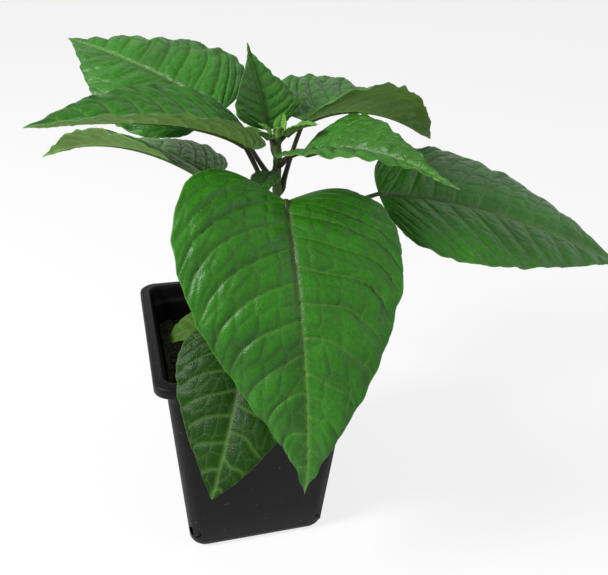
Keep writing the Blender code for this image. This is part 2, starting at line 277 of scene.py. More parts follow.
class Finish:
    """A material built from nodes around one Principled shader."""

    def __init__(self, name):
        self.material = bpy.data.materials.new(name)
        self.material.use_nodes = True
        self.tree = self.material.node_tree
        self.shader = self.tree.nodes["Principled BSDF"]

    def node(self, kind, settings=None, values=None):
        """Add a node, set it up, then feed its sockets."""
        made = self.tree.nodes.new(kind)
        for key, setting in (settings or {}).items():
            setattr(made, key, setting)
        for key, value in (values or {}).items():
            self.feed(made.inputs[key], value)
        return made

    def feed(self, socket, value):
        """Link a value to a socket, or set a constant on it."""
        if isinstance(value, Value):
            self.tree.links.new(value.socket, socket)
        elif isinstance(value, (tuple, list)) and len(value) == 3 and socket.type == "RGBA":
            socket.default_value = (*value, 1.0)
        else:
            socket.default_value = value

    def set(self, **values):
        """Feed the shader's sockets, named in lower case with underscores."""
        for key, value in values.items():
            name = key.replace("_", " ").title().replace("Ior", "IOR")
            self.feed(self.shader.inputs[name], value)

    def place(self, scale=(1.0, 1.0, 1.0)):
        """Place on the piece, in metres, scaled along each axis."""
        coords = self.node("ShaderNodeTexCoord")
        mapping = self.node("ShaderNodeMapping", None,
                            {"Vector": Value(self, coords.outputs["Object"]), "Scale": scale})
        return Value(self, mapping.outputs["Vector"])

    def noise(self, scale, detail=3.0, roughness=0.5, stretch=(1.0, 1.0, 1.0)):
        """Cloudy noise, drawn out along an axis whose stretch is under 1."""
        made = self.node("ShaderNodeTexNoise", None,
                         {"Vector": self.place(stretch), "Scale": scale, "Detail": detail,
                          "Roughness": roughness})
        return Value(self, made.outputs["Fac"])

    def cells(self, scale):
        """Distance to the middle of the nearest of many small cells."""
        made = self.node("ShaderNodeTexVoronoi", None, {"Vector": self.place(), "Scale": scale})
        return Value(self, made.outputs["Distance"])

    def attribute(self, name):
        """A number stored on the vertices."""
        made = self.node("ShaderNodeAttribute", {"attribute_name": name})
        return Value(self, made.outputs["Fac"])

    def mix(self, share, first, second):
        """A colour that goes from first to second."""
        made = self.node("ShaderNodeMix", {"data_type": "RGBA"}, {0: share, 6: first, 7: second})
        return Value(self, made.outputs[2])

    def bump(self, height, strength, distance):
        """Raise fine relief on the shader's normal."""
        made = self.node("ShaderNodeBump", None,
                         {"Height": height, "Strength": strength, "Distance": distance})
        self.tree.links.new(made.outputs["Normal"], self.shader.inputs["Normal"])


def shaded(colour, factor):
    """A lighter or darker colour."""
    return tuple(min(1.0, part * factor) for part in colour)


# ------------------------------------------------------------------------------ finishes
def blade_finish(name, green, settings, purple, sheen):
    """Upper face: mottled green, paler over the veins, with a painted highlight on the bulge crowns and
    a waxy sheen.
    """
    f = Finish(name)
    patches = f.noise(55.0, 4.0)
    grain = f.noise(700.0, 3.0)
    veins = f.attribute("veins")
    rib = f.attribute("rib")
    crown = f.attribute("crown")
    colour = f.mix(patches.between(0.3, 0.7), shaded(green, 0.7), shaded(green, 1.2))
    # Painted highlight: the crowns of the bulges between the veins are made lighter.
    colour = f.mix(crown * 0.45, colour, shaded(green, 1.45))
    colour = f.mix(grain.between(0.4, 0.7) * 0.4, colour, shaded(green, 0.55))
    colour = f.mix(veins * 0.24, colour, tuple(settings.vein))
    colour = f.mix(rib * 0.3, colour, tuple(settings.vein))
    colour = f.mix(rib * (1.0 - f.attribute("along")).between(0.35, 0.9) * 0.75, colour, purple)
    edge = f.attribute("edge")
    colour = f.mix(edge * 0.35, colour, shaded(tuple(settings.vein), 0.95))
    fine = f.cells(1500.0)
    f.set(base_color=colour, roughness=0.31 + patches * 0.16 + veins * 0.12,
          specular_ior_level=sheen)
    f.bump(fine * 0.6 + grain * 0.6, 0.6, 0.00025)
    return f.material


def underside_finish(settings):
    """Lower face: pale and matt with raised veins."""
    f = Finish("leaf_underside")
    patches = f.noise(70.0, 3.0)
    veins = f.attribute("veins")
    rib = f.attribute("rib")
    pale = tuple(settings.underside)
    colour = f.mix(patches.between(0.3, 0.7), shaded(pale, 0.85), shaded(pale, 1.12))
    colour = f.mix(veins * 0.5, colour, shaded(pale, 1.5))
    colour = f.mix(rib * 0.6, colour, shaded(pale, 1.6))
    f.set(base_color=colour, roughness=0.55 + patches * 0.1, specular_ior_level=0.25)
    f.bump(f.noise(900.0, 3.0), 0.3, 0.00015)
    return f.material


def stalk_finish(name, settings, flush):
    """Ribbed green stalk with a purple brown flush that fades along it."""
    f = Finish(name)
    along = f.attribute("along")
    streaks = f.noise(260.0, 4.0, 0.6, (1.0, 1.0, 0.18))
    specks = f.noise(1400.0, 2.0)
    green = tuple(settings.green)
    colour = f.mix(streaks.between(0.35, 0.65), shaded(green, 0.75), shaded(green, 1.3))
    fade = (1.0 - along).between(1.0 - flush, 1.25 - flush)
    colour = f.mix(fade * (0.55 + streaks * 0.5), colour, tuple(settings.purple))
    colour = f.mix(specks.between(0.6, 0.75) * 0.3, colour, shaded(green, 1.9))
    f.set(base_color=colour, roughness=0.42 + streaks * 0.15, specular_ior_level=0.25)
    f.bump(streaks + specks * 0.4, 0.4, 0.0002)
    return f.material


def root_finish(settings):
    """Pale, streaked and matt."""
    f = Finish("root_bark")
    streaks = f.noise(300.0, 4.0)
    pale = tuple(settings.root)
    f.set(base_color=f.mix(streaks, shaded(pale, 0.65), pale), roughness=0.75 + streaks * 0.15)
    f.bump(streaks, 0.4, 0.0003)
    return f.material


def plastic_finish(settings):
    """Thin black moulded plastic: soft sheen, faint scuffs and specks of dust."""
    f = Finish("pot_plastic")
    plastic = tuple(settings.plastic)
    clouds = f.noise(28.0, 5.0, 0.6)
    scuffs = f.noise(220.0, 6.0, 0.7, (1.0, 1.0, 0.12))
    grain = f.noise(1300.0, 2.0)
    specks = f.noise(620.0, 2.0, 0.4)
    colour = f.mix(clouds.between(0.3, 0.75), shaded(plastic, 0.75), shaded(plastic, 1.25))
    colour = f.mix(scuffs.between(0.62, 0.78) * 0.35, colour, srgb(60, 58, 56))
    colour = f.mix(specks.between(0.72, 0.78) * 0.5, colour, srgb(120, 104, 84))
    f.set(base_color=colour, roughness=0.34 + clouds * 0.16 + scuffs * 0.1,
          specular_ior_level=0.13)
    f.bump(grain * 0.5 + clouds * 0.8, 0.25, 0.00025)
    return f.material


def compost_finish(settings):
    """Dark crumbs and paler fibres."""
    f = Finish("compost_mix")
    dark = tuple(settings.compost)
    lumps = f.noise(240.0, 6.0, 0.7)
    fibres = f.noise(900.0, 4.0, 0.7, (0.25, 1.0, 1.0))
    colour = f.mix(lumps.between(0.35, 0.65), shaded(dark, 0.45), shaded(dark, 1.2))
    colour = f.mix(fibres.between(0.58, 0.7) * 0.7, colour, tuple(settings.fibre))
    f.set(base_color=colour, roughness=0.9 - lumps * 0.12)
    f.bump(lumps + fibres * 0.6, 0.9, 0.0009)
    return f.material


# ------------------------------------------------------------------------------ mesh helpers
def piece_from(bm, name, materials):
    """Turn a bmesh into a smooth object with its materials, and free the bmesh."""
    mesh = bpy.data.meshes.new(name)
    bm.to_mesh(mesh)
    bm.free()
    mesh.shade_smooth()
    for finish in materials:
        mesh.materials.append(finish)
    piece = bpy.data.objects.new(name, mesh)
    bpy.context.scene.collection.objects.link(piece)
    return piece


def settle(piece, slot, *nodes):
    """Fix a finished piece to the plant and hide the solids that it stands for."""
    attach(piece, "root")
    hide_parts(*nodes)
    return piece


def write_points(bm, points):
    """Move each vertex, in order, to its point."""
    for vert, point in zip(bm.verts, points):
        vert.co = point


def write_layers(bm, layers):
    """Store one number per vertex under each name."""
    for name, numbers in layers.items():
        layer = bm.verts.layers.float.new(name)
        for vert, number in zip(bm.verts, numbers):
            vert[layer] = float(number)


def grid_shares(bm):
    """Where each vertex of a fresh two-metre grid lies, from -1 to 1 across and 0 to 1 along."""
    flat = np.array([vert.co[:2] for vert in bm.verts])
    return flat[:, 0], (flat[:, 1] + 1) / 2


def unit(vectors):
    """Vectors of length one."""
    return vectors / np.linalg.norm(vectors, axis=-1, keepdims=True)


def smooth_step(value, low, high):
    """0 below low, 1 above high, smooth between them."""
    t = np.clip((value - low) / (high - low), 0, 1)
    return t * t * (3 - 2 * t)


def scatter(column, row, seed):
    """A repeatable number from 0 to 1 for each cell of a lattice."""
    return np.modf(np.abs(np.sin(column * 127.1 + row * 311.7 + seed * 74.7) * 43758.5453))[0]


def network(x, y, seed):
    """Distance to the border between irregular cells about one unit wide."""
    column = np.floor(x)
    row = np.floor(y)
    nearest = np.full(x.shape, 9.0)
    second = np.full(x.shape, 9.0)
    for dc in (-1, 0, 1):
        for dr in (-1, 0, 1):
            c = column + dc
            r = row + dr
            away = np.hypot(c + 0.15 + 0.7 * scatter(c, r, seed) - x,
                            r + 0.15 + 0.7 * scatter(c, r, seed + 5) - y)
            second = np.where(away < nearest, nearest, np.minimum(second, away))
            nearest = np.minimum(nearest, away)
    return second - nearest


def waves(along, seed, counts):
    """A repeatable ripple from a few sine waves."""
    total = np.zeros_like(along)
    for i, count in enumerate(counts):
        total += np.sin(math.tau * (count * along + scatter(np.array(i + 1.0), 3.0, seed)))
    return total / len(counts)


def tube_piece(name, points, radii, sides, materials, ribs=0, rib_depth=0.0):
    """A closed round or ribbed tube along points, with its length share stored on it."""
    points = np.array(points)
    radii = np.array(radii)
    rows = len(points) - 1
    tangents = unit(np.gradient(points, axis=0))
    side = np.cross(tangents, (0.0, 0.0, 1.0))
    lone = np.linalg.norm(side, axis=1) < 0.15
    side[lone] = np.cross(tangents[lone], (0.0, 1.0, 0.0))
    for i in range(1, rows + 1):
        side[i] = side[i - 1] - tangents[i] * np.dot(side[i - 1], tangents[i])
        side[i] /= np.linalg.norm(side[i])
    side[0] /= np.linalg.norm(side[0])
    up = np.cross(tangents, side)
    bm = bmesh.new()
    bmesh.ops.create_grid(bm, x_segments=sides, y_segments=rows, size=1.0)
    across, along = grid_shares(bm)
    row = np.rint(along * rows).astype(int)
    angle = math.pi * across
    reach = radii[row] * (1 - rib_depth * (0.5 - 0.5 * np.cos(ribs * angle)))
    placed = points[row] + reach[:, None] * (np.cos(angle)[:, None] * side[row]
                                             + np.sin(angle)[:, None] * up[row])
    write_points(bm, placed)
    write_layers(bm, {"along": along})
    bmesh.ops.remove_doubles(bm, verts=bm.verts, dist=0.000002)
    bmesh.ops.holes_fill(bm, edges=[edge for edge in bm.edges if edge.is_boundary])
    bmesh.ops.recalc_face_normals(bm, faces=bm.faces)
    return piece_from(bm, name, materials)


# ------------------------------------------------------------------------------ plant geometry
def wall_half(height):
    """Half the width of the pot's outer wall at a height."""
    top = POT_TOP / 2 - LIP_OVERHANG
    return POT_BASE / 2 + (top - POT_BASE / 2) * height / POT_HEIGHT


def stem_axis(height):
    """Centre of the stem at a height, in millimetres."""
    t = min(max((height - SOIL_TOP) / (LEAN_ENDS_Z - SOIL_TOP), 0.0), 1.0)
    lean = t * t * (3 - 2 * t)
    return np.array((STEM_FOOT[0] + STEM_LEAN[0] * lean, STEM_FOOT[1] + STEM_LEAN[1] * lean, height))


def stem_radius(height):
    """Radius of the stem at a height, in millimetres."""
    share = (height - STEM_BASE_Z) / (STEM_TOP_Z - STEM_BASE_Z)
    return STEM_RADIUS_LOW + (STEM_RADIUS_HIGH - STEM_RADIUS_LOW) * share


def bearing(heading, rise):
    """Unit directions from headings and rises in degrees."""
    h = np.radians(heading)
    e = np.radians(rise)
    return np.stack([np.cos(h) * np.cos(e), np.sin(h) * np.cos(e), np.sin(e) + 0 * h], -1)


def run(start, length, shares, heading, turn, rise, bend):
    """Walk from start in a direction that turns and bends; gives points and directions."""
    mid = (shares[1:] + shares[:-1]) / 2
    steps = bearing(heading + turn * mid, rise[0] + (rise[1] - rise[0]) * mid ** bend)
    walk = np.cumsum(steps * (length * np.diff(shares))[:, None], axis=0)
    points = np.vstack([start, start + walk])
    return points, bearing(heading + turn * shares, rise[0] + (rise[1] - rise[0]) * shares ** bend)


def petiole_line(leaf, count=24):
    """Centre line of a leaf stalk from beside the stem to the blade."""
    clearance = stem_radius(leaf.node) + FIT_GAP
    clearance += PETIOLE_RADIUS * math.sin(math.radians(leaf.petiole_rise[0]))
    start = stem_axis(leaf.node) + bearing(np.float64(leaf.heading), 0.0) * clearance
    length = leaf.petiole - clearance + stem_radius(leaf.node)
    shares = np.linspace(0, 1, count)
    return run(start, length, shares, leaf.heading, 0, leaf.petiole_rise, 1.0)[0]


def half_width(leaf, share):
    """Half the width of a blade at a share of its length."""
    widest = leaf.shoulder / (leaf.shoulder + leaf.point)
    share = np.clip(share, 0, 1)
    return (leaf.width / 2 * (share / widest) ** leaf.shoulder
            * ((1 - share) / (1 - widest)) ** leaf.point)


def across_reach(leaf, s):
    """Sideways and upward reach per half width, and the slope there, at s from midrib to edge."""
    steps = 10
    side = np.zeros_like(s)
    lift = np.zeros_like(s)
    for i in range(steps):
        slope = np.radians(leaf.fold - leaf.camber * np.abs(s) * (i + 0.5) / steps)
        side += np.cos(slope) * np.abs(s) / steps
        lift += np.sin(slope) * np.abs(s) / steps
    return np.sign(s) * side, lift, np.radians(leaf.fold - leaf.camber * np.abs(s))


def relief_scale(leaf):
    """Quilting is shallower where the side veins lie close together."""
    return min(1.0, leaf.length / (leaf.pairs + 1) / 12.0) ** 0.5


def vein_relief(leaf, share, s, half, seed):
    """Height of the quilted surface, and masks for the veins, the midrib and the bulge crowns that get a
    painted highlight.
    """
    a = np.abs(s)
    sweep = 0.15 * a + 0.13 * a ** 3
    reach = (share - sweep) / (1 - sweep)
    spacing = leaf.length / (leaf.pairs + 1)
    wander = 0.10 * waves(share + 0.37 * s, seed, (1.3, 2.9))
    phase = np.sign(reach) * np.abs(reach) ** 0.85 * (leaf.pairs + 1)
    phase = phase + 0.45 * (s > 0) + wander
    part = phase - np.floor(phase)
    side_vein = np.minimum(part, 1 - part) * spacing * 0.85
    cell = max(2.2, spacing * 0.55)
    cross = network(phase * 1.7, a * half / cell + seed, seed)
    fine = network(phase * 4.5, a * half / (cell * 0.38) + seed, seed + 11)
    rib_line = np.exp(-(a * half / (RIB_WIDTH + RIB_WIDTH_PER_LENGTH * leaf.length)) ** 2)
    line = np.exp(-(side_vein / VEIN_WIDTH) ** 2) * smooth_step(1 - a, 0.0, 0.12)
    thread = np.exp(-(cross * cell / VEIN_WIDTH) ** 2)
    bulge = np.sin(math.pi * np.clip(part, 0, 1)) ** 0.6 * smooth_step(a * half, 0.0, spacing * 0.6)
    bulge *= 1 - 0.6 * smooth_step(a, 0.75, 1.0)
    pillow = smooth_step(cross, 0.0, 0.55)
    pucker = smooth_step(fine, 0.0, 0.6)
    scale = relief_scale(leaf)
    height = scale * (BULGE_HEIGHT * bulge + PILLOW_HEIGHT * pillow * (0.3 + 0.7 * bulge)
                      + PUCKER_HEIGHT * pucker)
    height -= scale * RIB_DEPTH * rib_line
    veins = np.clip(line + 0.45 * thread * (1 - line), 0, 1)
    height -= scale * (VEIN_DEPTH * line + THREAD_DEPTH * thread)
    return height, veins, rib_line, np.clip(bulge * pillow, 0, 1)


def blade_piece(leaf, materials, settings, seed):
    """The blade: a grid bent to the leaf's form, quilted between its veins, then given thickness."""
    cell = settings.cell / MM * (0.55 if leaf.length < 25 else (0.8 if leaf.length < 50 else 1.0))
    rows = max(24, int(leaf.length / cell))
    columns = max(16, int(leaf.width / cell) // 2 * 2)
    bm = bmesh.new()
    bmesh.ops.create_grid(bm, x_segments=columns, y_segments=rows, size=1.0)
    s, v = grid_shares(bm)
    shares = np.linspace(0, 1, rows + 1) ** 1.3
    start = petiole_line(leaf)[-1]
    mids, forwards = run(start, leaf.length, shares, leaf.heading, leaf.turn, leaf.rise, leaf.bend)
    row = np.rint(v * rows).astype(int)
    share = shares[row]
    forward = forwards[row]
    turn = np.radians(leaf.heading + leaf.turn * share)
    level = np.stack([-np.sin(turn), np.cos(turn), 0 * turn], -1)
    up = np.cross(forward, level)
    roll = np.radians(leaf.roll + leaf.twist * share)[:, None]
    side_axis = np.cos(roll) * level + np.sin(roll) * up
    up_axis = np.cos(roll) * up - np.sin(roll) * level
    half = half_width(leaf, share)
    half = half * (1 + 0.016 * waves(share + 0.5 * (s > 0), seed + 2, (5.0, 9.0, 15.0)))
    side, lift, slope = across_reach(leaf, s)
    fullness = np.sin(math.pi / 2 * np.minimum(1.0, 2.5 * half / leaf.width))
    back = leaf.lobe * leaf.length * (1 - share) ** 4 * fullness * np.abs(s) ** 1.5
    height, veins, rib, crown = vein_relief(leaf, share, s, half, seed)
    normal = np.cos(slope)[:, None] * up_axis - (np.sign(s) * np.sin(slope))[:, None] * side_axis
    near_tip = smooth_step(1 - share, 0.0, 0.10) * smooth_step(share, 0.0, 0.04)
    edge = np.abs(s) ** 5
    ripple = leaf.ruffle * edge * waves(share + 0.31 * (s > 0), seed, (4.0, 7.0, 11.0)) * near_tip
    quilting = settings.relief / MM * leaf.relief * (height - MEAN_HEIGHT) * near_tip
    placed = (mids[row] + side_axis * (side * half)[:, None] + up_axis * (lift * half)[:, None]
              - forward * back[:, None] + normal * (quilting + ripple)[:, None])
    write_points(bm, placed * MM)
    margin = smooth_step(np.abs(s), 1 - 0.7 / max(leaf.width / 2, 1.0), 1.0)
    write_layers(bm, {"veins": veins, "rib": rib, "crown": crown, "edge": margin, "along": share})
    bmesh.ops.remove_doubles(bm, verts=bm.verts, dist=0.000004)
    bmesh.ops.reverse_faces(bm, faces=bm.faces)
    blade = piece_from(bm, leaf.name + "_blade", materials)
    shell = blade.modifiers.new("Thickness", "SOLIDIFY")
    shell.thickness = settings.thickness
    shell.offset = -1.0
    shell.material_offset = 1
    shell.use_even_offset = False
    return blade


def elbow(leaf, line):
    """The short curve that brings a stalk out of the stem to the start of its line."""
    heading = bearing(np.float64(leaf.heading), 0.0)
    first = stem_axis(leaf.node - ELBOW_DROP) + heading * 0.3
    bend = line[0] - unit(line[1] - line[0]) * ELBOW_REACH
    t = np.linspace(0, 1, 7)[:-1, None]
    return (1 - t) ** 2 * first + 2 * t * (1 - t) * bend + t ** 2 * line[0]


def stalk_piece(leaf, material, relief):
    """The leaf stalk, flared where it leaves the stem, running on as the rib under the blade."""
    line = petiole_line(leaf)
    small = leaf.length < 25
    base = PETIOLE_RADIUS * (0.55 if small else 0.6 + 0.4 * min(1.0, leaf.length / 90))
    heel = elbow(leaf, line)
    shares = np.linspace(0, RIB_REACH, 60)
    mids, forwards = run(line[-1], leaf.length, shares, leaf.heading, leaf.turn, leaf.rise, leaf.bend)
    turn = np.radians(leaf.heading + leaf.turn * shares)
    level = np.stack([-np.sin(turn), np.cos(turn), 0 * turn], -1)
    up = np.cross(forwards, level)
    roll = np.radians(leaf.roll + leaf.twist * shares)[:, None]
    up_axis = np.cos(roll) * up - np.sin(roll) * level
    rib_radius = base * (0.85 - 0.72 * (shares / shares[-1]) ** 0.7)
    groove = relief / MM * leaf.relief * (MEAN_HEIGHT + RIB_DEPTH * relief_scale(leaf))
    sink = smooth_step(shares, 0.0, 0.04) * (groove + RIB_SINK * rib_radius)
    rib = mids - up_axis * sink[:, None]
    points = np.vstack([heel, line, rib[1:]])
    flare = 0.55 * np.exp(-np.linspace(0, 1, len(line)) * max(leaf.petiole, 4) / 3.0)
    stalk_radius = base * (1 + flare - 0.15 * np.linspace(0, 1, len(line)))
    radii = np.concatenate([np.full(len(heel), stalk_radius[0]), stalk_radius, rib_radius[1:]])
    return tube_piece(leaf.name + "_stalk", points * MM, radii * MM, 20, [material], 5, 0.10)


# ------------------------------------------------------------------------------ operators
class CHILLI_OT_pot(Operator):
    """Make the square pot with its hanging lip, inner ledge and drain holes"""

    bl_idname = "chilli.pot"
    bl_label = "Pot"

    def execute(self, context):
        settings = context.scene.chilli_pot
        pot = self.shell(settings)
        cutters = [self.cutter(sx, sy) for sx in (-1, 1) for sy in (-1, 1)]
        for cutter in cutters:
            cut = pot.modifiers.new("Drain Hole", "BOOLEAN")
            cut.operation = "DIFFERENCE"
            cut.solver = "EXACT"
            cut.object = cutter
            context.view_layer.objects.active = pot
            bpy.ops.object.modifier_apply(modifier=cut.name)
            bpy.data.objects.remove(cutter, do_unlink=True)
        pot.data.set_sharp_from_angle(angle=math.radians(50))
        settle(pot, "pot_plastic", "pot")
        return {"FINISHED"}

    def profile(self):
        """Half width, corner radius and height of each ring, up the outside and down the inside."""
        top = POT_TOP / 2
        neck = top - LIP_OVERHANG
        ledge = POT_HEIGHT - LEDGE_BELOW_RIM
        skirt = POT_HEIGHT - LIP_BAND
        under = POT_HEIGHT - LIP_THICKNESS
        base = POT_BASE / 2
        wall = POT_WALL
        inner_skirt = top - LIP_THICKNESS
        outer = [(base - 3.5, 5.0, 0.0), (base - 2.2, 5.8, 0.25), (base - 1.2, 6.4, 0.9),
                 (base - 0.4, 6.8, 2.1), (wall_half(4.0), 7.0, 4.0)]
        outer += [(wall_half(z), 7.0 - z / 90.0, z) for z in (20.0, 40.0, 60.0, 80.0, 92.0)]
        outer += [(wall_half(ledge - 1.5), 6.0, ledge - 1.5), (neck + 0.1, 6.2, ledge - 0.8),
                  (neck + 0.6, 6.5, ledge), (neck + 0.9, 6.5, under)]
        lip = [(inner_skirt, 6.5, under), (inner_skirt, 6.5, skirt + 0.3),
               (inner_skirt + 0.3, 6.8, skirt), (top - 0.3, 7.3, skirt), (top, 7.5, skirt + 0.3),
               (top, 7.5, POT_HEIGHT - 1.3), (top - 0.15, 7.4, POT_HEIGHT - 0.75),
               (top - 0.6, 7.1, POT_HEIGHT - 0.35), (top - 1.3, 6.9, POT_HEIGHT - 0.25),
               (top - 2.2, 6.5, POT_HEIGHT - 0.25), (neck + 1.7, 6.3, POT_HEIGHT - 0.2),
               (neck + 1.3, 6.2, POT_HEIGHT), (neck + 0.8, 6.0, POT_HEIGHT),
               (neck + 0.3, 5.8, POT_HEIGHT - 0.3), (neck + 0.0, 5.6, POT_HEIGHT - 0.9)]
        inner = [(neck - 0.2, 5.6, POT_HEIGHT - 2.5), (neck + 0.5 - wall, 5.5, ledge + 1.0),
                 (neck + 0.3 - wall, 5.4, ledge + 0.1),
                 (wall_half(ledge - 1.5) - wall + 0.2, 5.2, ledge - 0.6),
                 (wall_half(ledge - 1.5) - wall, 5.0, ledge - 1.6)]
        inner += [(wall_half(z) - wall, 5.4, z) for z in (80.0, 60.0, 40.0, 20.0)]
        inner += [(wall_half(4.0) - wall, 6.0, 4.2), (base - 2.2, 5.5, 2.0),
                  (base - 4.2, 4.5, wall)]
        return outer + lip + inner

    def shell(self, settings):
        """Start from a square, round its corners, then draw it up and back down ring by ring."""
        bm = bmesh.new()
        half, corner, height = self.profile()[0]
        bmesh.ops.create_grid(bm, x_segments=1, y_segments=1, size=half)
        bmesh.ops.bevel(bm, geom=list(bm.verts), offset=corner, affect="VERTICES",
                        segments=settings.corner_steps, profile=0.5, material=-1,
                        offset_type="OFFSET")
        spokes = {}
        for vert in bm.verts:
            centre = Vector([math.copysign(half - corner, c) if abs(c) > half - corner - 1e-6
                             else 0.0 for c in vert.co[:2]])
            spokes[vert] = (Vector((math.copysign(1, vert.co.x), math.copysign(1, vert.co.y))),
                            (vert.co.xy - centre) / corner)
        ring = list(bm.edges)
        for half, corner, height in self.profile()[1:]:
            made = bmesh.ops.extrude_edge_only(bm, edges=ring)["geom"]
            ring = [item for item in made if isinstance(item, bmesh.types.BMEdge)
                    and all(v not in spokes for v in item.verts)]
            fresh = {}
            for vert in {v for edge in ring for v in edge.verts}:
                below = next(e.other_vert(vert) for e in vert.link_edges if e.other_vert(vert) in spokes)
                fresh[vert] = spokes[below]
            for vert, (sign, spoke) in fresh.items():
                flat = Vector((sign.x * (half - corner), sign.y * (half - corner))) + spoke * corner
                vert.co = Vector((flat.x, flat.y, height))
            spokes = fresh
        bmesh.ops.holes_fill(bm, edges=ring)
        bmesh.ops.recalc_face_normals(bm, faces=bm.faces)
        bmesh.ops.scale(bm, vec=(MM, MM, MM), verts=bm.verts)
        return piece_from(bm, "pot_shell", [plastic_finish(settings)])

    def cutter(self, sx, sy):
        """One corner hole and one floor hole, to be cut from the pot."""
        corner = wall_half(CORNER_HOLE_HEIGHT) - 3.0
        bm = bmesh.new()
        radius = HOLE_DIAMETER / 2 * MM
        bmesh.ops.create_cone(bm, cap_ends=True, segments=32, radius1=radius, radius2=radius,
                              depth=14.0 * MM)
        turn = Vector((0, 0, 1)).rotation_difference(Vector((sx, sy, 0)).normalized())
        place = Vector((sx * corner, sy * corner, CORNER_HOLE_HEIGHT)) * MM
        bmesh.ops.transform(bm, matrix=Matrix.Translation(place) @ turn.to_matrix().to_4x4(),
                            verts=bm.verts)
        floor = bmesh.ops.create_cone(bm, cap_ends=True, segments=32, radius1=radius,
                                      radius2=radius, depth=8.0 * MM)
        away = Vector((sx * FLOOR_HOLE_OFFSET, sy * FLOOR_HOLE_OFFSET, 0)) * MM
        bmesh.ops.translate(bm, vec=away, verts=floor["verts"])
        return piece_from(bm, "drain_cutter", [])


class CHILLI_OT_compost(Operator):
    """Make the crumbly compost and give the roots inside it their finish"""

    bl_idname = "chilli.compost"
    bl_label = "Compost"

    def execute(self, context):
        settings = context.scene.chilli_pot
        finish = compost_finish(settings)
        settle(self.block(finish), "compost", "soil")
        if settings.crumbs:
            crumbs = self.crumbs(settings.crumbs, finish)
            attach(crumbs, "root")
        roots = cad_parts["roots"]
        for slot in roots.material_slots:
            slot.link = "OBJECT"
            slot.material = root_finish(context.scene.chilli_stalks)
        return {"FINISHED"}

    @staticmethod
    def surface(x, y):
        """Height of the compost's surface in millimetres at places in millimetres."""
        lumps = 0.9 * smooth_step(network(x / 5.0 + 9, y / 5.0 + 9, 3), 0.0, 0.7)
        lumps += 0.55 * smooth_step(network(x / 2.2 + 30, y / 2.2 + 30, 7), 0.0, 0.7)
        lumps += 0.3 * smooth_step(network(x / 1.0 + 60, y / 1.0 + 60, 13), 0.0, 0.7)
        swell = 0.8 * np.sin(x / 11.0 + 1.0) * np.cos(y / 9.0)
        return SOIL_TOP - 1.2 + swell + lumps

    def block(self, finish):
        """A lumpy sheet over the pot's rounded square, drawn down along its walls and closed."""
        low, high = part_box("soil")
        half = (high.x - low.x) / 2 / MM - 0.4
        corner = 5.0
        bm = bmesh.new()
        bmesh.ops.create_grid(bm, x_segments=150, y_segments=150, size=1.0)
        flat = np.array([vert.co[:2] for vert in bm.verts]) * half
        over = np.maximum(np.abs(flat) - (half - corner), 0)
        length = np.hypot(over[:, 0], over[:, 1])
        limit = np.maximum(over[:, 0], over[:, 1])
        shrink = np.where(length > 0, limit / np.maximum(length, 1e-9), 1.0)
        flat = np.sign(flat) * (np.abs(flat) - over + over * shrink[:, None])
        height = self.surface(flat[:, 0], flat[:, 1])
        write_points(bm, np.column_stack([flat, height]) * MM)
        rim = [edge for edge in bm.edges if edge.is_boundary]
        for level, inset in ((50.0, 1.0), (4.6, 1.0), (1.5, 0.86)):
            made = bmesh.ops.extrude_edge_only(bm, edges=rim)["geom"]
            rim = [item for item in made if isinstance(item, bmesh.types.BMEdge)]
            taper = (wall_half(level) - POT_WALL - 0.6) / half
            for vert in {vert for edge in rim for vert in edge.verts}:
                widest = max(abs(vert.co.x), abs(vert.co.y)) / (half * MM)
                factor = min(1.0, taper * inset / max(widest, 0.9))
                vert.co = Vector((vert.co.x * factor, vert.co.y * factor, level * MM))
        bmesh.ops.holes_fill(bm, edges=rim)
        bmesh.ops.recalc_face_normals(bm, faces=bm.faces)
        return piece_from(bm, "compost_block", [finish])

    def crumbs(self, count, finish):
        """Loose crumbs and short fibres strewn over the surface."""
        rng = np.random.default_rng(11)
        bm = bmesh.new()
        low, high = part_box("soil")
        half = (high.x - low.x) / 2 / MM - 3.0
        for i in range(count):
            x, y = rng.uniform(-half, half, 2)
            size = rng.uniform(0.4, 1.3)
            stretch = (1.0, 1.0, 1.0) if i % 4 else (rng.uniform(2.5, 4.5), 0.45, 0.45)
            made = bmesh.ops.create_icosphere(bm, subdivisions=1, radius=0.5 * size * MM)
            spin = Matrix.Rotation(rng.uniform(0, math.tau), 4, "Z")
            tilt = Matrix.Rotation(rng.uniform(-0.6, 0.6), 4, "Y")
            shape = Matrix.Diagonal((*stretch, 1.0))
            z = float(self.surface(np.array([x]), np.array([y]))[0]) + 0.2 * size
            place = Matrix.Translation(Vector((x, y, z)) * MM)
            bmesh.ops.transform(bm, matrix=place @ spin @ tilt @ shape, verts=made["verts"])
            for vert in made["verts"]:
                vert.co += Vector(rng.uniform(-0.09, 0.09, 3)) * size * MM
        return piece_from(bm, "compost_crumbs", [finish])


class CHILLI_OT_stem(Operator):
    """Make the ribbed stem, swollen at each joint"""

    bl_idname = "chilli.stem"
    bl_label = "Stem"

    def execute(self, context):
        heights = np.linspace(STEM_BASE_Z, STEM_TOP_Z, 260)
        points = np.array([stem_axis(z) for z in heights])
        radii = np.array([stem_radius(z) for z in heights])
        for leaf in LEAVES:
            radii += 0.45 * np.exp(-((heights - leaf.node) / 1.8) ** 2)
            push = 0.25 * np.exp(-((heights - leaf.node) / 2.5) ** 2)
            points += push[:, None] * bearing(np.float64(leaf.heading), 0.0)
        radii *= 1 + 0.02 * waves(heights / 30.0, 4, (2.0, 5.0))
        finish = stalk_finish("stem_bark", context.scene.chilli_stalks, 0.25)
        stem = tube_piece("stem_axis", points * MM, radii * MM, 48, [finish], 5, 0.12)
        settle(stem, "stem_green", "stem")
        return {"FINISHED"}


